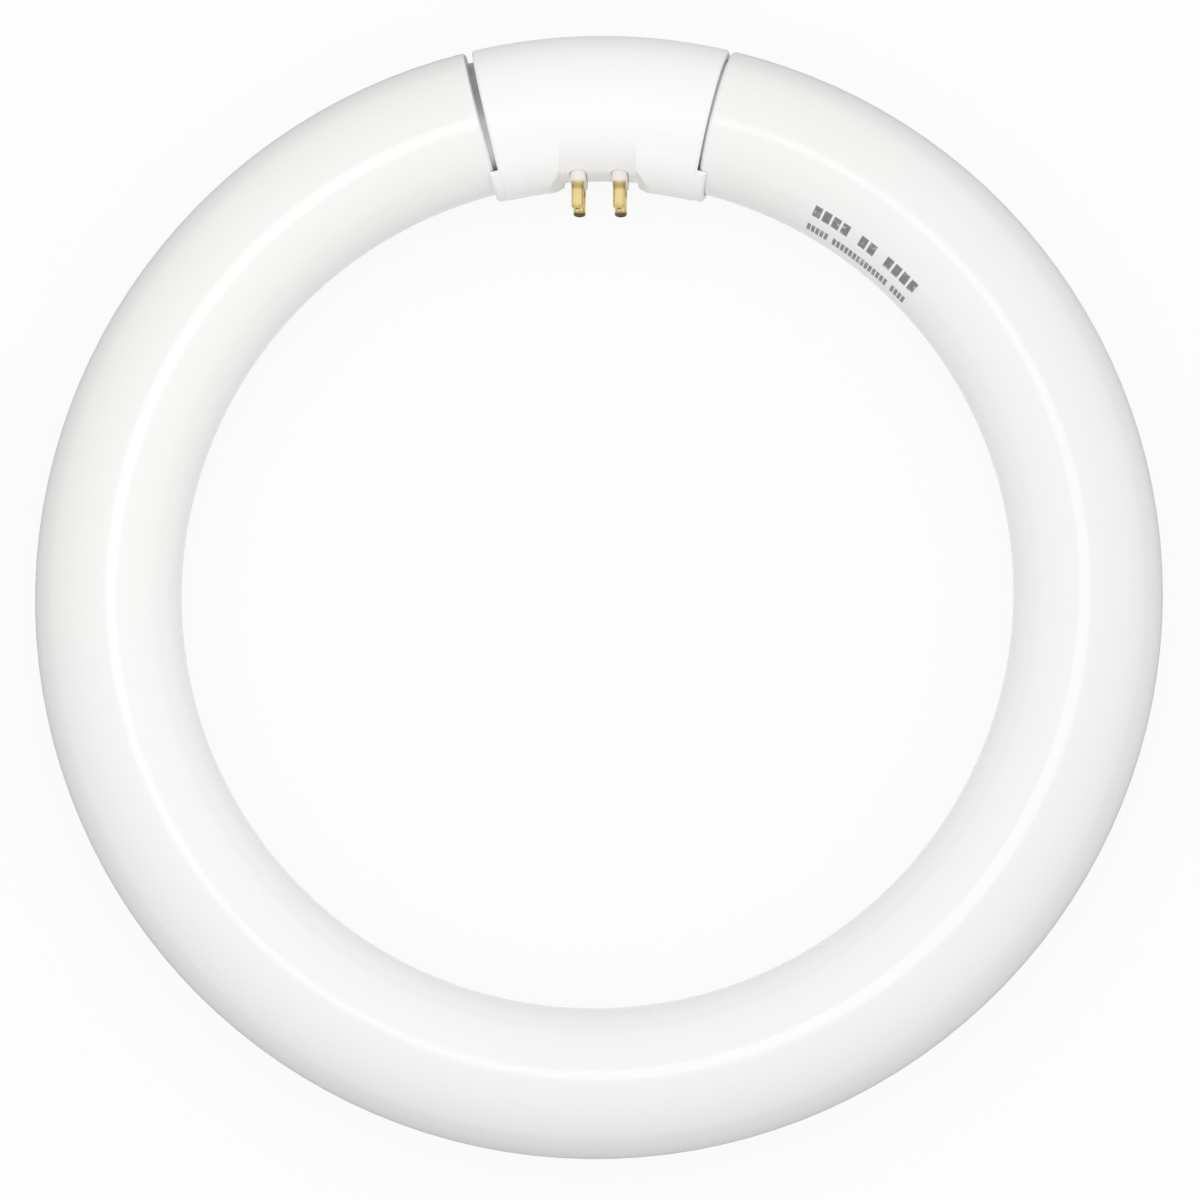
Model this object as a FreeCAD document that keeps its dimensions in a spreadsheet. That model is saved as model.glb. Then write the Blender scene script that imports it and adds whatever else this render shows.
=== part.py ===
import FreeCAD, Part
import math
import os
import re
import Sketcher

# Driving sizes, in millimetres
SIZES = {
    "ring_radius": 92.25,
    "glass_radius": 13.75,
    "cap_length": 43.5,
    "left_gap": 1.6,
    "right_gap": 1.05,
    "shoulder_step": 2.1,
    "shoulder_bevel": 0.5,
    "neck_length": 9.5,
    "rim_bevel": 1.2,
    "dish_depth": 5.0,
    "dish_floor_radius": 4.2,
    "exhaust_radius": 2.4,
    "exhaust_length": 5.0,
    "pad_drop": 1.8,
    "pad_radius": 11.5,
    "apron_length": 1.7,
    "apron_height": 7.5,
    "apron_relief": 0.15,
    "apron_clearance": 0.15,
    "apron_bevel": 0.5,
    "cap_wall": 1.2,
    "cap_end_bevel": 0.4,
    "seam_bevel": 0.25,
    "neck_clearance": 0.15,
    "notch_mouth": 19.2,
    "notch_floor": 14.4,
    "notch_lip_round": 1.5,
    "notch_lip_relief": 0.05,
    "notch_overrun": 0.6,
    "seat_thickness": 2.5,
    "plate_width": 14.0,
    "plate_height": 10.4,
    "plate_corner_round": 1.2,
    "plate_thickness": 1.4,
    "plate_clearance": 0.12,
    "rib_radius": 1.5,
    "rib_rise": 1.3,
    "rib_edge_bevel": 0.25,
    "pin_spacing_along": 7.92,
    "pin_spacing_across": 6.35,
    "pin_radius": 1.18,
    "pin_exposed": 5.2,
    "pin_tip_round": 0.55,
    "pin_tip_hollow": 0.9,
    "pin_socket_depth": 4.0,
    "pin_bore_radius": 0.45,
    "pin_root_radius": 0.9,
    "pin_collar_radius": 1.9,
    "pin_collar_thickness": 0.7,
    "pin_tail": 1.3,
    "pin_clearance": 0.05,
    "lead_radius": 0.3,
    "lead_bend": 3.0,
    "lead_set_back": 0.3,
}

# Sizes that follow from the driving ones
DERIVED = {
    "cap_half_angle": "cap_length / 2 / ring_radius * 180 / pi",
    "left_angle": "(cap_length / 2 + left_gap) / ring_radius * 180 / pi",
    "right_angle": "(cap_length / 2 + right_gap) / ring_radius * 180 / pi",
    "neck_radius": "glass_radius - shoulder_step",
    "skin_line": "ring_radius - glass_radius",
    "pad_line": "skin_line - pad_drop",
    "pad_centre": "pad_line + pad_radius",
    "pad_tilt": "asin((glass_radius - pad_radius) / (ring_radius - pad_centre))",
    "apron_radius": "pad_radius - apron_relief",
    "apron_inner_radius": "glass_radius + apron_clearance",
    "apron_half_angle": "cap_half_angle + apron_length / pad_line * 180 / pi",
    "core_radius": "glass_radius - cap_wall",
    "core_half_angle": "(cap_length / 2 - cap_wall) / ring_radius * 180 / pi",
    "lip_line": "pad_line - notch_lip_relief",
    "mouth_angle": "asin(notch_mouth / 2 / lip_line)",
    "mouth_line": "lip_line * cos(mouth_angle)",
    "side_angle": "atan((notch_mouth - notch_floor) / 2 / (skin_line - mouth_line))",
    "lip_trim": "notch_lip_round * tan((90 deg - side_angle - mouth_angle) / 2)",
    "notch_clear_line": "pad_line - glass_radius",
    "notch_top": "ring_radius - glass_radius * sin(pad_tilt) + notch_overrun",
    "fill_half_angle": "1.3 * mouth_angle",
    "seat_line": "skin_line + seat_thickness",
    "plate_back": "seat_line + plate_thickness",
    "rib_line": "skin_line - rib_rise",
    "pin_tip_line": "rib_line - pin_exposed",
    "pin_length": "plate_back + pin_collar_thickness + pin_tail - pin_tip_line",
    "pin_socket_floor": "pin_length - pin_socket_depth",
}

doc = FreeCAD.newDocument("ring_lamp")
sheet = doc.addObject("Spreadsheet::Sheet", "Sizes")


def fill_sheet():
    rows = list(SIZES.items()) + [(name, "=" + text) for name, text in DERIVED.items()]
    for row, (name, content) in enumerate(rows, start=1):
        sheet.set(f"A{row}", name)
        sheet.set(f"B{row}", str(content))
        sheet.setAlias(f"B{row}", name)
    doc.recompute()


def bound(text):
    """An expression in the sheet's names, as other objects of the document read it."""
    def with_sheet(match):
        word = match.group()
        return f"Sizes.{word}" if word in SIZES or word in DERIVED else word
    return re.sub(r"[a-z_]+", with_sheet, text)


def value(text):
    return float(sheet.evalExpression(bound(text)))


def new_body(name):
    return doc.addObject("PartDesign::Body", name)


def new_sketch(body, name, role, raised="0"):
    """A sketch on one of the body's own planes, or that far above it."""
    plane = next(item for item in body.Origin.OriginFeatures if item.Role == role)
    sketch = body.newObject("Sketcher::SketchObject", name)
    sketch.AttachmentSupport = [(plane, "")]
    sketch.MapMode = "FlatFace"
    if raised != "0":
        sketch.setExpression("AttachmentOffset.Base.z", bound(raised))
    return sketch


def pin_down(sketch, geometry, end, across, up):
    """Fix one end of a line or arc at a point that the sheet gives."""
    for kind, axis, text in (("DistanceX", -2, across), ("DistanceY", -1, up)):
        if text == "0":
            sketch.addConstraint(Sketcher.Constraint("PointOnObject", geometry, end, axis))
            continue
        number = sketch.addConstraint(Sketcher.Constraint(kind, -1, 1, geometry, end, value(text)))
        sketch.setExpression(f"Constraints[{number}]", bound(text))


def arc_between(start, end, radius, turn):
    """The arc from start to end that turns left (1) or right (-1), under half a circle."""
    chord = end - start
    middle = (start + end) / 2
    reach = math.sqrt(max(radius ** 2 - chord.Length ** 2 / 4, 0))
    left = FreeCAD.Vector(-chord.y, chord.x, 0).normalize()
    centre = middle + left * reach * turn
    first, last = (start, end) if turn > 0 else (end, start)
    angles = [math.atan2(point.y - centre.y, point.x - centre.x) for point in (first, last)]
    if angles[1] < angles[0]:
        angles[1] += 2 * math.pi
    circle = Part.Circle(centre, FreeCAD.Vector(0, 0, 1), radius)
    return Part.ArcOfCircle(circle, angles[0], angles[1])


def draw(sketch, corners, closed=True):
    """An outline or an open path. Each corner is (across, up), with (radius, turn) if an arc leaves it."""
    points = [FreeCAD.Vector(value(corner[0]), value(corner[1]), 0) for corner in corners]
    starts = []
    ends = []
    stretches = corners if closed else corners[:-1]
    for index, corner in enumerate(stretches):
        start = points[index]
        end = points[(index + 1) % len(points)]
        if len(corner) == 2:
            sketch.addGeometry(Part.LineSegment(start, end))
            first, last = 1, 2
        else:
            radius, turn = corner[2]
            sketch.addGeometry(arc_between(start, end, value(radius), turn))
            first, last = (1, 2) if turn > 0 else (2, 1)
            number = sketch.addConstraint(Sketcher.Constraint("Radius", index, value(radius)))
            sketch.setExpression(f"Constraints[{number}]", bound(radius))
        starts.append(first)
        ends.append(last)
    for index, corner in enumerate(stretches):
        pin_down(sketch, index, starts[index], corner[0], corner[1])
        follower = (index + 1) % len(corners)
        if follower < len(stretches):
            sketch.addConstraint(
                Sketcher.Constraint("Coincident", index, ends[index], follower, starts[follower]))
        else:
            pin_down(sketch, index, ends[index], *corners[follower])


def circle(sketch, across, up, radius):
    """A circle whose middle and radius the sheet gives."""
    middle = FreeCAD.Vector(value(across), value(up), 0)
    index = sketch.addGeometry(Part.Circle(middle, FreeCAD.Vector(0, 0, 1), value(radius)))
    number = sketch.addConstraint(Sketcher.Constraint("Radius", index, value(radius)))
    sketch.setExpression(f"Constraints[{number}]", bound(radius))
    pin_down(sketch, index, 3, across, up)


def rectangle(sketch, half_width, half_height):
    draw(sketch, [
        (f"-({half_width})", f"-({half_height})"),
        (half_width, f"-({half_height})"),
        (half_width, half_height),
        (f"-({half_width})", half_height),
    ])


def turned(body, kind, name, sketch, axis, angle="360"):
    """A solid of revolution, or a turned cut where kind is Groove."""
    feature = body.newObject(f"PartDesign::{kind}", name)
    feature.Profile = sketch
    feature.ReferenceAxis = (sketch, [axis])
    feature.setExpression("Angle", bound(angle))
    doc.recompute()
    return feature


def turned_evenly(body, name, sketch, half_angle):
    """A section of the cap turned about the axis of the ring, to the same angle on both sides."""
    turned(body, "Revolution", name, sketch, "V_Axis", f"2 * ({half_angle})").Midplane = True
    doc.recompute()


def raised_by(body, name, sketch, length):
    pad = body.newObject("PartDesign::Pad", name)
    pad.Profile = sketch
    pad.setExpression("Length", bound(length))
    doc.recompute()


def cut_by(body, name, sketch, length, reversed_way):
    """A pocket of a set depth, which has to take material away."""
    before = body.Shape.Volume
    pocket = body.newObject("PartDesign::Pocket", name)
    pocket.Profile = sketch
    pocket.Reversed = reversed_way
    pocket.setExpression("Length", bound(length))
    doc.recompute()
    if body.Shape.Volume >= before:
        raise RuntimeError(f"{name} cuts nothing")


def edges_where(feature, test):
    return [f"Edge{number}" for number, edge in enumerate(feature.Shape.Edges, start=1) if test(edge)]


def softened(body, kind, name, size, test):
    """A fillet or chamfer on the edges of the body's last feature that pass the test."""
    last = body.Tip
    feature = body.newObject(f"PartDesign::{kind}", name)
    feature.Base = (last, edges_where(last, test))
    feature.setExpression("Radius" if kind == "Fillet" else "Size", bound(size))
    doc.recompute()


def place(item, across="0", along="0", up="0"):
    for letter, text in (("x", across), ("y", along), ("z", up)):
        item.setExpression(f"Placement.Base.{letter}", bound(text))


def turn_in_plan(item, angle):
    item.Placement.Rotation = FreeCAD.Rotation(FreeCAD.Vector(0, 0, 1), value(angle))
    item.setExpression("Placement.Rotation.Angle", bound(angle))


def face_outward(item):
    """Lay a body down so that its own Z axis points away from the middle of the ring."""
    item.Placement.Rotation = FreeCAD.Rotation(FreeCAD.Vector(1, 0, 0), -90)


def at_end(side, inward, outward):
    """Plan position at a sealed end: so far along its neck, so far from the neck's axis."""
    angle = "right_angle" if side > 0 else "left_angle"
    sign = "" if side > 0 else "-"
    across = f"{sign}((ring_radius + {outward}) * sin({angle}) - ({inward}) * cos({angle}))"
    along = f"(ring_radius + {outward}) * cos({angle}) + ({inward}) * sin({angle})"
    return across, along


# Glass: a bent tube that ends on both sides in a shoulder, a neck and a sealed end
def glass_arc():
    body = new_body("glass_arc")
    section = new_sketch(body, "arc_section", "XZ_Plane")
    circle(section, "ring_radius", "0", "glass_radius")
    turned(body, "Revolution", "arc_turn", section, "V_Axis", "360 - left_angle - right_angle")
    turn_in_plan(body, "90 + left_angle")
    return body


def sealed_end(side):
    """Shoulder, neck, rim, sunken seal and the pointed stub of the exhaust tube, as one turned form."""
    body = new_body("right_end" if side > 0 else "left_end")
    outline = new_sketch(body, "end_outline", "XY_Plane")
    draw(outline, [
        ("0", "0"),
        ("neck_length + exhaust_length", "0"),
        ("neck_length + exhaust_length - exhaust_radius", "exhaust_radius"),
        ("neck_length - dish_depth", "exhaust_radius"),
        ("neck_length - dish_depth", "dish_floor_radius"),
        ("neck_length", "neck_radius - rim_bevel"),
        ("neck_length - rim_bevel", "neck_radius"),
        ("shoulder_bevel", "neck_radius"),
        ("shoulder_bevel", "glass_radius - shoulder_bevel"),
        ("0", "glass_radius"),
    ])
    turned(body, "Revolution", "end_turn", outline, "H_Axis")
    turn_in_plan(body, "180 - right_angle" if side > 0 else "left_angle")
    place(body, *at_end(side, "0", "0"))
    return body


def glass_tube():
    tube = doc.addObject("Part::MultiFuse", "glass_tube")
    tube.Shapes = [glass_arc(), sealed_end(-1), sealed_end(1)]
    tube.Refine = True
    return tube


# Cap: two moulded shells that meet on the plane of the ring
def middle_of(edge):
    return edge.valueAt((edge.FirstParameter + edge.LastParameter) / 2)


def near(first, second):
    return abs(first - second) < 1e-4


def clock_angle(point):
    return abs(math.degrees(math.atan2(point.x, point.y)))


def is_end_edge(edge):
    """Whether an edge of the solid cap runs round one of its ends."""
    point = middle_of(edge)
    return near(clock_angle(point), value("cap_half_angle")) and not near(point.z, 0)


def is_seam_edge(edge):
    """Whether an edge of the solid cap runs along the seam of the two shells."""
    return isinstance(edge.Curve, Part.Circle) and near(middle_of(edge).z, 0)


def is_apron_edge(edge):
    """Whether an edge runs round the skin of an apron at its end."""
    point = middle_of(edge)
    from_centre = math.hypot(math.hypot(point.x, point.y) - value("pad_centre"), point.z)
    return near(clock_angle(point), value("apron_half_angle")) and near(from_centre, value("apron_radius"))


def signed(side, text):
    return text if side > 0 else f"-({text})"


def padded_section(body, side):
    """Half of the section at the pads: the round of the tube and a smaller round further in, joined."""
    section = new_sketch(body, "padded_section", "YZ_Plane")
    draw(section, [
        ("ring_radius + glass_radius", "0", ("glass_radius", side)),
        ("ring_radius - glass_radius * sin(pad_tilt)", signed(side, "glass_radius * cos(pad_tilt)")),
        ("pad_centre - pad_radius * sin(pad_tilt)", signed(side, "pad_radius * cos(pad_tilt)"),
         ("pad_radius", side)),
        ("pad_line", "0"),
    ])
    return section


def apron_section(body, side):
    """Half of the strip of the pads that runs on, past the ends of the cap, under the glass."""
    section = new_sketch(body, "apron_section", "YZ_Plane")
    top = signed(side, "apron_height")
    draw(section, [
        ("ring_radius - apron_inner_radius", "0"),
        ("pad_line + apron_relief", "0", ("apron_radius", -side)),
        ("pad_centre - sqrt(apron_radius ^ 2 - apron_height ^ 2)", top),
        ("ring_radius - sqrt(apron_inner_radius ^ 2 - apron_height ^ 2)", top,
         ("apron_inner_radius", side)),
    ])
    return section


def inner_quarter(body, side):
    """The quarter of the tube's round section that faces the middle of the ring."""
    section = new_sketch(body, "inner_quarter", "YZ_Plane")
    draw(section, [
        ("ring_radius", "0"),
        ("ring_radius", signed(side, "glass_radius"), ("glass_radius", side)),
        ("skin_line", "0"),
    ])
    return section


def core_section(body, side):
    """Half of the round section of the hollow."""
    section = new_sketch(body, "core_section", "YZ_Plane")
    draw(section, [
        ("ring_radius + core_radius", "0", ("core_radius", side)),
        ("ring_radius", signed(side, "core_radius"), ("core_radius", side)),
        ("ring_radius - core_radius", "0"),
    ])
    return section


def notch_outline(body):
    """The notch between the pads in plan: straight at the top, then sloping sides and round lips."""
    outline = new_sketch(body, "notch_outline", "XY_Plane")
    side_across = "notch_mouth / 2 - lip_trim * sin(side_angle)"
    side_along = "mouth_line + lip_trim * cos(side_angle)"
    lip_across = "notch_mouth / 2 + lip_trim * cos(mouth_angle)"
    lip_along = "mouth_line - lip_trim * sin(mouth_angle)"
    lip = ("notch_lip_round", -1)
    draw(outline, [
        (f"-({lip_across})", "notch_clear_line"),
        (lip_across, "notch_clear_line"),
        (lip_across, lip_along, lip),
        (side_across, side_along),
        ("notch_floor / 2", "skin_line"),
        ("notch_floor / 2", "notch_top"),
        ("-notch_floor / 2", "notch_top"),
        ("-notch_floor / 2", "skin_line"),
        (f"-({side_across})", side_along, lip),
        (f"-({lip_across})", lip_along),
    ])
    return outline


def cap_core(side):
    """The hollow of one shell, with a flat seat for the pin plate left standing in it."""
    body = new_body("cap_core")
    turned_evenly(body, "core_turn", core_section(body, side), "core_half_angle")
    seat = new_sketch(body, "seat_outline", "XY_Plane")
    half_width = "plate_width / 2 + cap_wall"
    draw(seat, [
        (f"-({half_width})", "notch_clear_line"),
        (half_width, "notch_clear_line"),
        (half_width, "seat_line"),
        (f"-({half_width})", "seat_line"),
    ])
    cut_by(body, "plate_seat", seat, "glass_radius", side > 0)
    return body


def cap_shell(name, side):
    body = new_body(name)
    turned_evenly(body, "cap_turn", padded_section(body, side), "cap_half_angle")
    softened(body, "Chamfer", "end_edges", "cap_end_bevel", is_end_edge)
    softened(body, "Chamfer", "seam_edges", "seam_bevel", is_seam_edge)
    turned_evenly(body, "apron", apron_section(body, side), "apron_half_angle")
    softened(body, "Chamfer", "apron_edges", "apron_bevel", is_apron_edge)
    cut_by(body, "notch", notch_outline(body), "glass_radius", side > 0)
    turned_evenly(body, "notch_skin", inner_quarter(body, side), "fill_half_angle")
    hollow = body.newObject("PartDesign::Boolean", "cap_hollow")
    hollow.Type = "Cut"
    hollow.setObjects([cap_core(side)])
    doc.recompute()

    half_width = "rib_radius + plate_clearance"
    for across in ("-pin_spacing_along / 2", "pin_spacing_along / 2"):
        window = new_sketch(body, "rib_window", "XZ_Plane")
        round_end = (half_width, side)
        up = signed(side, "pin_spacing_across / 2")
        draw(window, [
            (f"{across} + {half_width}", "0"),
            (f"{across} + {half_width}", up, round_end),
            (across, signed(side, f"pin_spacing_across / 2 + {half_width}"), round_end),
            (f"{across} - ({half_width})", up),
            (f"{across} - ({half_width})", "0"),
        ])
        cut_by(body, "rib_opening", window, "plate_back", False)

    for end, gap in ((-1, "left_gap"), (1, "right_gap")):
        bore = new_sketch(body, "neck_bore", "XY_Plane")
        draw(bore, [
            at_end(end, "0", "0"),
            at_end(end, f"{gap} + 2 * cap_wall", "0"),
            at_end(end, f"{gap} + 2 * cap_wall", "neck_radius + neck_clearance"),
            at_end(end, "0", "neck_radius + neck_clearance"),
        ])
        turned(body, "Groove", "neck_opening", bore, "Edge1")
    return body


# Pin plate: an insulating plate inside the cap, with two round-ended ribs that stand out through its skin
PIN_PLACES = [
    ("-pin_spacing_along / 2", "pin_spacing_across / 2"),
    ("pin_spacing_along / 2", "pin_spacing_across / 2"),
    ("pin_spacing_along / 2", "-pin_spacing_across / 2"),
    ("-pin_spacing_along / 2", "-pin_spacing_across / 2"),
]


def rib_outline(body, across):
    """A rib round two pins, one behind the other."""
    outline = new_sketch(body, "rib_outline", "XY_Plane")
    low = "-pin_spacing_across / 2"
    high = "pin_spacing_across / 2"
    left = f"{across} - rib_radius"
    right = f"{across} + rib_radius"
    round_end = ("rib_radius", 1)
    draw(outline, [
        (right, low),
        (right, high, round_end),
        (across, f"{high} + rib_radius", round_end),
        (left, high),
        (left, low, round_end),
        (across, f"{low} - rib_radius", round_end),
    ])
    return outline


def pin_plate():
    body = new_body("pin_plate")
    plate = new_sketch(body, "plate_outline", "XY_Plane", "seat_line - rib_line")
    rectangle(plate, "plate_width / 2", "plate_height / 2")
    raised_by(body, "plate", plate, "plate_thickness")
    softened(body, "Fillet", "plate_corners", "plate_corner_round",
             lambda edge: not near(edge.Vertexes[0].Z, edge.Vertexes[-1].Z))
    for across in ("-pin_spacing_along / 2", "pin_spacing_along / 2"):
        raised_by(body, "rib", rib_outline(body, across), "seat_line - rib_line")
    softened(body, "Chamfer", "rib_edges", "rib_edge_bevel", lambda edge: near(edge.BoundBox.ZMax, 0))
    holes = new_sketch(body, "pin_holes", "XY_Plane")
    for across, up in PIN_PLACES:
        circle(holes, across, up, "pin_root_radius + pin_clearance")
    cut_by(body, "pin_openings", holes, "plate_back - rib_line", True)
    face_outward(body)
    place(body, "0", "rib_line", "0")
    return body


# Pins: a round-ended shank on a thinner root, which a collar holds in the plate, with a socket for the lead
def contact_pin(number, across, up):
    body = new_body(f"contact_pin_{number}")
    outline = new_sketch(body, "pin_outline", "XZ_Plane")
    collar = "plate_back - pin_tip_line"
    draw(outline, [
        ("0", "pin_tip_hollow"),
        ("pin_bore_radius", "pin_tip_hollow"),
        ("pin_bore_radius", "0"),
        ("pin_radius - pin_tip_round", "0", ("pin_tip_round", 1)),
        ("pin_radius", "pin_tip_round"),
        ("pin_radius", "pin_exposed"),
        ("pin_root_radius", "pin_exposed"),
        ("pin_root_radius", collar),
        ("pin_collar_radius", collar),
        ("pin_collar_radius", f"{collar} + pin_collar_thickness"),
        ("pin_root_radius", f"{collar} + pin_collar_thickness"),
        ("pin_root_radius", "pin_length"),
        ("pin_bore_radius", "pin_length"),
        ("pin_bore_radius", "pin_socket_floor"),
        ("0", "pin_socket_floor"),
    ])
    turned(body, "Revolution", "pin_turn", outline, "V_Axis")
    face_outward(body)
    place(body, across, "pin_tip_line", up)
    return body


# Leads: from the floor of a sealed end along the neck, round one bend and down into a pin
def lead_wire(number, across, up):
    side = -1 if across.startswith("-") else 1
    angle = "right_angle" if side > 0 else "left_angle"
    sign = "" if side > 0 else "-"
    start = "pin_tip_line + pin_socket_floor + lead_set_back"
    end_x, end_y = at_end(side, "neck_length - dish_depth", "0")
    end_across = f"{end_x} - ({across})"
    end_along = f"{end_y} - ({start})"
    corner = f"{end_along} + abs({end_across}) * tan({angle})"
    trim = f"lead_bend * tan(45 + {angle} / 2)"
    body = new_body(f"lead_wire_{number}")
    path = new_sketch(body, "lead_path", "XY_Plane")
    draw(path, [
        ("0", "0"),
        ("0", f"{corner} - {trim}", ("lead_bend", -side)),
        (f"{sign}{trim} * cos({angle})", f"{corner} - {trim} * sin({angle})"),
        (end_across, end_along),
    ], closed=False)
    section = new_sketch(body, "lead_section", "XZ_Plane")
    circle(section, "0", "0", "lead_radius")
    wire = body.newObject("PartDesign::AdditivePipe", "lead")
    wire.Profile = section
    wire.Spine = (path, ["Edge1", "Edge2", "Edge3"])
    doc.recompute()
    place(body, across, start, up)
    return body


fill_sheet()
subparts = [glass_tube(), cap_shell("cap_front_shell", 1), cap_shell("cap_rear_shell", -1), pin_plate()]
for number, (across, up) in enumerate(PIN_PLACES, start=1):
    subparts.append(contact_pin(number, across, up))
    subparts.append(lead_wire(number, across, up))

doc.recompute()
for item in doc.Objects:
    if "Invalid" in item.State or "Error" in item.State:
        raise RuntimeError(f"{item.Name} did not build: {item.State}")
for item in subparts:
    if item.Shape.isNull() or not item.Shape.isValid():
        raise RuntimeError(f"{item.Label} has no sound shape")

os.makedirs("parts", exist_ok=True)
for item in subparts:
    item.Shape.exportStep(f"parts/{item.Label}.step")
    print(item.Label, len(item.Shape.Solids), round(item.Shape.Volume, 1))
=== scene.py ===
import math

import bpy
from mathutils import Matrix, Vector


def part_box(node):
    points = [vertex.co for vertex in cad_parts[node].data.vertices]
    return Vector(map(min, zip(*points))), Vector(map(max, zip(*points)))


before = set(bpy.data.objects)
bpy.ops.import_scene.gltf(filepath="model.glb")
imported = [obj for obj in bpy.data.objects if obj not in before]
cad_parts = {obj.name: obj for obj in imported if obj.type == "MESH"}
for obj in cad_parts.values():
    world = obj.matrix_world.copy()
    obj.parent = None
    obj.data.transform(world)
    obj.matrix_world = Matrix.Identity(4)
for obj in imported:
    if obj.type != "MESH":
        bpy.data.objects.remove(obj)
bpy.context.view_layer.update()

# Sizes of the lamp, in metres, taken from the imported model
GLASS_LOW, GLASS_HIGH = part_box("glass_tube")
TUBE_RADIUS = GLASS_HIGH.z
RING_RADIUS = GLASS_HIGH.x - TUBE_RADIUS
FLOOR_LEVEL = GLASS_LOW.z
PIN_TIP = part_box("contact_pin_1")[0].y

# Clock angles, from the middle of the cap, at which the white glass ends left and right
LEFT_END = -23.35e-3 / RING_RADIUS
RIGHT_END = 22.8e-3 / RING_RADIUS

# Two rows of plain dashes on the inner front of the glass: their angles round the tube,
# the clock angle that one dash takes, and the runs of dashes, counted from the start
MARK_START = math.radians(29.9)
MARK_ROWS = (
    {"inner": 58.0, "outer": 47.0, "pitch": 1.45, "runs": ((0, 4), (5, 7), (8, 12))},
    {"inner": 78.0, "outer": 68.0, "pitch": 0.68, "runs": ((0, 5), (6, 20), (21, 25))},
)

# Painted shade on the pins: dark tip, painted shadow band under the rib, and how far its edge wanders
TIP_DARK, TIP_CLEAR = PIN_TIP + 0.4e-3, PIN_TIP + 1.2e-3
ROOT_LOW, ROOT_HIGH = PIN_TIP + 3.8e-3, PIN_TIP + 5.0e-3
PAINTED_SHADE_EDGE = 0.4e-3

# Camera: how far its eye leans off the axis of the ring, its roll, and the point it looks at
EYE_LEAN = (0.0594, -0.1151)
EYE_DISTANCE = 6 * RING_RADIUS
CAMERA_ROLL = math.radians(0.83)
AIM_POINT = (1.2e-3, -2.4e-3)
LENS = 88.24
SENSOR = 36.0

WHITE = (1, 1, 1, 1)


class Wire:
    """An output socket. Arithmetic with it and numbers adds Math nodes."""

    def __init__(self, nodes, socket):
        self.nodes = nodes
        self.socket = socket

    def math(self, operation, *others):
        values = dict(enumerate((self, *others)))
        return self.nodes.add("ShaderNodeMath", {"operation": operation}, values)["Value"]

    def __add__(self, other):
        return self.math("ADD", other)

    def __sub__(self, other):
        return self.math("SUBTRACT", other)

    def __mul__(self, other):
        return self.math("MULTIPLY", other)

    def __rsub__(self, other):
        return self * -1 + other

    __radd__ = __add__
    __rmul__ = __mul__


class NodeSet:
    """The node tree of one finish."""

    def __init__(self, tree):
        self.tree = tree
        tree.nodes.clear()

    def add(self, kind, settings=None, inputs=None):
        """One node with its settings, then its inputs by name or number. Gives its outputs by name."""
        node = self.tree.nodes.new(kind)
        for name, setting in (settings or {}).items():
            setattr(node, name, setting)
        sockets = [socket for socket in node.inputs if socket.enabled]
        for key, value in (inputs or {}).items():
            if isinstance(key, int):
                socket = sockets[key]
            else:
                socket = next(socket for socket in sockets if socket.name == key)
            if isinstance(value, Wire):
                self.tree.links.new(value.socket, socket)
            else:
                socket.default_value = value
        return {socket.name: Wire(self, socket) for socket in node.outputs if socket.enabled}

    def point(self, coordinates="Object"):
        """The point on the piece."""
        return self.add("ShaderNodeTexCoord")[coordinates]

    def axes(self, point):
        """The three coordinates of a point."""
        split = self.add("ShaderNodeSeparateXYZ", {}, {"Vector": point})
        return split["X"], split["Y"], split["Z"]

    def noise(self, point, scale, detail):
        inputs = {"Vector": point, "Scale": scale, "Detail": detail}
        return self.add("ShaderNodeTexNoise", {}, inputs)["Fac"]

    def stretched(self, point, scale):
        return self.add("ShaderNodeMapping", {}, {"Vector": point, "Scale": scale})["Vector"]

    def step(self, value, low, high):
        """0 at low and 1 at high, smooth between."""
        settings = {"interpolation_type": "SMOOTHSTEP"}
        inputs = {"Value": value, "From Min": low, "From Max": high}
        return self.add("ShaderNodeMapRange", settings, inputs)["Result"]

    def band(self, value, low, high, soft):
        """1 between low and high, with soft edges."""
        start = self.step(value, low - soft, low + soft)
        end = self.step(value, high - soft, high + soft)
        return start * (1 - end)

    def blend(self, share, first, second):
        inputs = {"Factor": share, "A": first, "B": second}
        return self.add("ShaderNodeMix", {"data_type": "RGBA"}, inputs)["Result"]

    def bump(self, height, strength, distance):
        inputs = {"Height": height, "Strength": strength, "Distance": distance}
        return self.add("ShaderNodeBump", {}, inputs)["Normal"]

    def mix(self, share, first, second):
        """Two shaders mixed."""
        return self.add("ShaderNodeMixShader", {}, {0: share, 1: first, 2: second})["Shader"]

    def seen(self, mirrored=1.0):
        """1 where the camera sees it, the mirrored share in gloss and glass, 0 where it only lights."""
        path = self.add("ShaderNodeLightPath")
        indirect = path["Is Glossy Ray"].math("MAXIMUM", path["Is Transmission Ray"]) * mirrored
        return path["Is Camera Ray"].math("MAXIMUM", indirect)

    def surface(self, inputs):
        shader = self.add("ShaderNodeBsdfPrincipled", {}, inputs)["BSDF"]
        self.add("ShaderNodeOutputMaterial", {}, {"Surface": shader})


def from_axis(x, y):
    """Distance from the axis of the ring."""
    return (x * x + y * y).math("SQRT")


def new_finish(name):
    material = bpy.data.materials.new(name)
    material.use_nodes = True
    return material, NodeSet(material.node_tree)


def dress(material, *node_names):
    for name in node_names:
        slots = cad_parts[name].data.materials
        slots.clear()
        slots.append(material)
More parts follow.
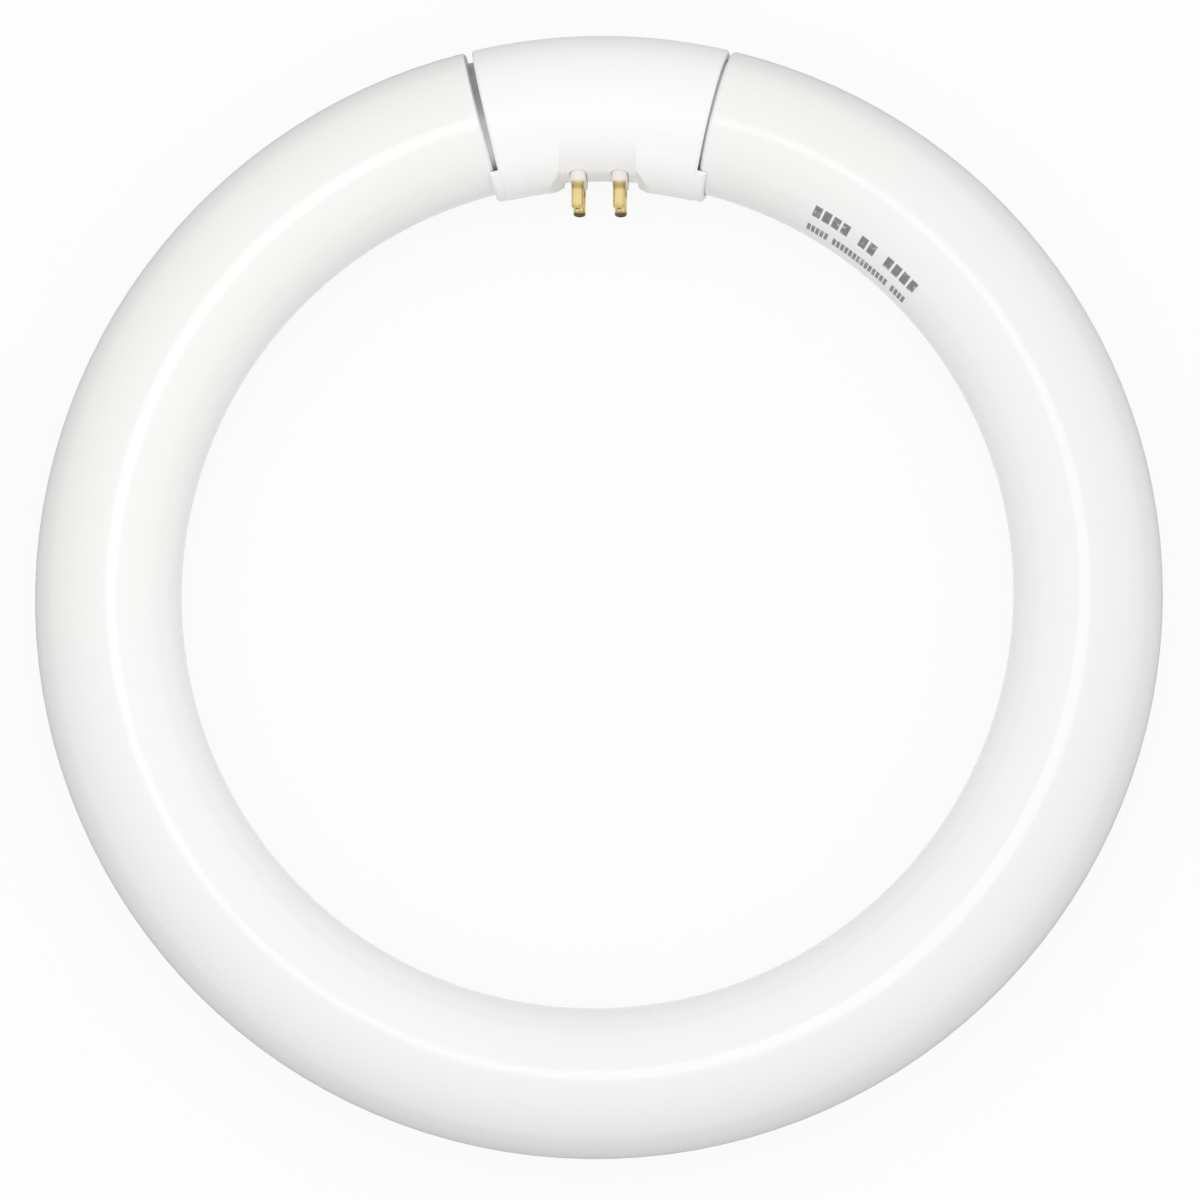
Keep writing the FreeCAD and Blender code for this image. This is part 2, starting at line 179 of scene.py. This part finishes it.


# Glass: white coating behind smooth glass; on the necks inside the cap, grey as painted shade in the
# gaps and pale as painted light
def coated_glass():
    material, nodes = new_finish("coated_glass")
    point = nodes.point()
    x, y, z = nodes.axes(point)
    reach = from_axis(x, y)
    clock = x.math("ARCTAN2", y)
    around = (RING_RADIUS - reach).math("ARCTAN2", z)

    # Coating, a touch cooler at the lower right than at the upper left, and faintly cloudy
    drift = nodes.step(y - x * 0.6, -RING_RADIUS, RING_RADIUS * 1.15)
    cloud = nodes.noise(point, 28.0, 3.0)
    coating = nodes.blend(drift, (0.916, 0.914, 0.931, 1), (0.932, 0.93, 0.916, 1))
    coating = nodes.blend(cloud * 0.12, coating, (0.84, 0.84, 0.82, 1))

    # Worn print
    ink = 0
    for row in MARK_ROWS:
        height = nodes.band(around, math.radians(row["outer"]), math.radians(row["inner"]), 0.012)
        count = (clock - MARK_START) * (1 / math.radians(row["pitch"]))
        dashes = nodes.step(count.math("PINGPONG", 0.5), 0.08, 0.16) * height
        for first, last in row["runs"]:
            ink = nodes.band(count, first, last, 0.02) * dashes + ink
    worn = 1 - nodes.step(nodes.noise(point, 900.0, 2.0), 0.52, 0.75) * 0.55
    printed = nodes.blend(ink * worn * 0.82, coating, (0.06, 0.062, 0.058, 1))

    # Necks: grey on the outer side of the left one, as painted shade in its gap, and pale elsewhere, as
    # painted light that lifts the shade of the narrow gaps
    neck = nodes.band(clock, LEFT_END + 0.002, RIGHT_END - 0.002, 0.001)
    neck_gap_shade_and_light = nodes.blend(cloud, (0.34, 0.342, 0.345, 1), (0.48, 0.48, 0.485, 1))
    # Painted light: the inner side and the right neck are made pale against the shade in the gaps
    painted_gap_light = nodes.step(reach, RING_RADIUS + 0.004, RING_RADIUS - 0.011)
    painted_gap_light = painted_gap_light.math("MAXIMUM", nodes.step(x, 0.0, 0.010))
    neck_gap_shade_and_light = nodes.blend(painted_gap_light * 0.95, neck_gap_shade_and_light, (0.93, 0.93, 0.92, 1))

    wipe = nodes.noise(nodes.stretched(point, (60.0, 60.0, 220.0)), 1.0, 4.0)
    waves = nodes.noise(point, 55.0, 1.0)
    nodes.surface({
        "Base Color": nodes.blend(neck, printed, neck_gap_shade_and_light),
        "Roughness": wipe * 0.06 + 0.085,
        "IOR": 1.52,
        "Normal": nodes.bump(waves, 0.05, 0.002),
    })
    return material


# Cap: satin white moulding with a fine grain
def cap_plastic():
    material, nodes = new_finish("cap_plastic")
    point = nodes.point()
    cloud = nodes.noise(point, 90.0, 4.0)
    grain = nodes.noise(point, 2600.0, 3.0)
    nodes.surface({
        "Base Color": nodes.blend(cloud * 0.35, (0.98, 0.98, 0.975, 1), (0.95, 0.95, 0.94, 1)),
        "Roughness": cloud * 0.12 + 0.3,
        "IOR": 1.46,
        "Normal": nodes.bump(grain, 0.12, 0.0004),
    })
    return material


# Pin plate: matt insulating plastic
def plate_plastic():
    material, nodes = new_finish("plate_plastic")
    speckle = nodes.noise(nodes.point(), 1500.0, 4.0)
    nodes.surface({
        "Base Color": nodes.blend(speckle * 0.5, (0.93, 0.88, 0.85, 1), (0.87, 0.81, 0.77, 1)),
        "Roughness": speckle * 0.15 + 0.5,
        "IOR": 1.46,
        "Normal": nodes.bump(speckle, 0.15, 0.0003),
    })
    return material


# Pins: drawn brass with painted shade at the tip, strongest on the rear pair in the front pins' shadow,
# and a painted shadow band at the root
def pin_brass():
    material, nodes = new_finish("pin_brass")
    point = nodes.point()
    x, y, z = nodes.axes(point)
    drawn = nodes.noise(nodes.stretched(point, (2600.0, 120.0, 2600.0)), 1.0, 3.0)
    patches = nodes.noise(point, 700.0, 3.0)
    brass = nodes.blend(patches, (0.80, 0.62, 0.25, 1), (0.90, 0.74, 0.36, 1))

    # Painted shade at the tips, stronger on the rear pins, and a painted shadow band just under the rib
    along = y + patches * PAINTED_SHADE_EDGE
    front = nodes.step(z, -0.002, 0.002)
    tip_painted_shade = (1 - nodes.step(along, TIP_DARK, TIP_CLEAR)) * (0.95 - front * 0.7)
    root_painted_shadow = nodes.band(along, ROOT_LOW, ROOT_HIGH, PAINTED_SHADE_EDGE) * 0.45
    nodes.surface({
        "Base Color": nodes.blend(tip_painted_shade.math("MAXIMUM", root_painted_shadow), brass, (0.06, 0.042, 0.02, 1)),
        "Metallic": 1 - tip_painted_shade * 0.6,
        "Roughness": drawn * 0.14 + tip_painted_shade * 0.25 + 0.2,
        "Normal": nodes.bump(drawn, 0.15, 0.0002),
    })
    return material


# Leads: bare drawn wire
def lead_metal():
    material, nodes = new_finish("lead_metal")
    drawn = nodes.noise(nodes.point(), 1800.0, 3.0)
    nodes.surface({
        "Base Color": nodes.blend(drawn, (0.52, 0.52, 0.53, 1), (0.66, 0.65, 0.63, 1)),
        "Metallic": 1.0,
        "Roughness": drawn * 0.2 + 0.25,
    })
    return material


# Stage: a white floor that keeps the shadow, a soft sky and two lamps
def white_floor(size=8.0):
    """A floor with a faint shadow, nearly white to the eye. Gloss shows it greyer outside the ring."""
    bpy.ops.object.select_all(action="DESELECT")
    bpy.ops.mesh.primitive_plane_add(size=size, location=(0, 0, FLOOR_LEVEL))
    floor = bpy.context.object
    floor.name = "studio_floor"
    material, nodes = new_finish("floor_white")
    x, y, z = nodes.axes(nodes.point())
    outside = nodes.step(from_axis(x, y), RING_RADIUS, RING_RADIUS + TUBE_RADIUS)
    glow = nodes.add("ShaderNodeEmission", {}, {"Color": WHITE, "Strength": 1.0})["Emission"]
    shaded = nodes.add("ShaderNodeBsdfDiffuse", {}, {"Color": (0.95, 0.95, 0.95, 1)})["BSDF"]
    lit = nodes.add("ShaderNodeBsdfDiffuse", {}, {"Color": (0.42, 0.42, 0.42, 1)})["BSDF"]
    shown = nodes.mix(0.88, shaded, glow)
    # Outside the ring, gloss sees more of the lit grey floor: painted shade in the reflections on the
    # tube's outer edges
    mixed = nodes.mix(nodes.seen(1 - outside * 0.75), lit, shown)
    nodes.add("ShaderNodeOutputMaterial", {}, {"Surface": mixed})
    floor.data.materials.append(material)


def soft_sky(middle, north, south, east, west):
    """An even sky, brighter to some sides. To the eye, also in gloss and glass, it is white."""
    world = bpy.data.worlds.new("studio_sky")
    world.use_nodes = True
    bpy.context.scene.world = world
    nodes = NodeSet(world.node_tree)
    x, y, z = nodes.axes(nodes.point("Generated"))
    most = max(north, south, east, west)
    share = 0
    for direction, strength in ((y, north), (y * -1, south), (x, east), (x * -1, west)):
        side = direction.math("MAXIMUM", 0.0)
        share = side * side * (strength / most) + share
    dim, bright, shown = (
        nodes.add("ShaderNodeBackground", {}, {"Color": WHITE, "Strength": strength})["Background"]
        for strength in (middle, middle + most, 1.0)
    )
    mixed = nodes.mix(nodes.seen(), nodes.mix(share, dim, bright), shown)
    nodes.add("ShaderNodeOutputWorld", {}, {"Surface": mixed})


def lamp(name, place, size, watts, mirrored=True):
    """A round lamp that shines at the middle of the ring and shows at most as a reflection."""
    bpy.ops.object.light_add(type="AREA", location=place)
    light = bpy.context.object
    light.name = name
    light.data.shape = "DISK"
    light.data.size = size
    light.data.energy = watts
    light.visible_camera = False
    light.visible_glossy = mirrored
    light.rotation_euler = Vector(place).to_track_quat("Z", "Y").to_euler()


def photo_camera():
    turn = Matrix.Rotation(CAMERA_ROLL, 3, "Z")
    eye = turn @ Vector((*EYE_LEAN, 1)).normalized() * EYE_DISTANCE
    target = turn @ Vector((*AIM_POINT, 0))
    back = (eye - target).normalized()
    right = (turn @ Vector((0, 1, 0))).cross(back).normalized()
    up = back.cross(right)
    data = bpy.data.cameras.new("photo_camera")
    data.lens = LENS
    data.sensor_width = SENSOR
    camera = bpy.data.objects.new("photo_camera", data)
    bpy.context.collection.objects.link(camera)
    camera.matrix_world = Matrix.Translation(eye) @ Matrix((right, up, back)).transposed().to_4x4()
    bpy.context.scene.camera = camera


def main():
    dress(coated_glass(), "glass_tube")
    dress(cap_plastic(), "cap_front_shell", "cap_rear_shell")
    dress(plate_plastic(), "pin_plate")
    dress(pin_brass(), *(f"contact_pin_{number}" for number in range(1, 5)))
    dress(lead_metal(), *(f"lead_wire_{number}" for number in range(1, 5)))
    white_floor()
    soft_sky(middle=0.685, north=0.2, south=0.08, east=0.59, west=0.4)
    lamp("small_light", place=(0.022, 0.010, 0.39), size=0.14, watts=0.078)
    lamp("low_light", place=(0.0, 0.0, 0.14), size=0.1, watts=0.035, mirrored=False)
    photo_camera()
    bpy.context.scene.view_settings.view_transform = "Standard"


main()
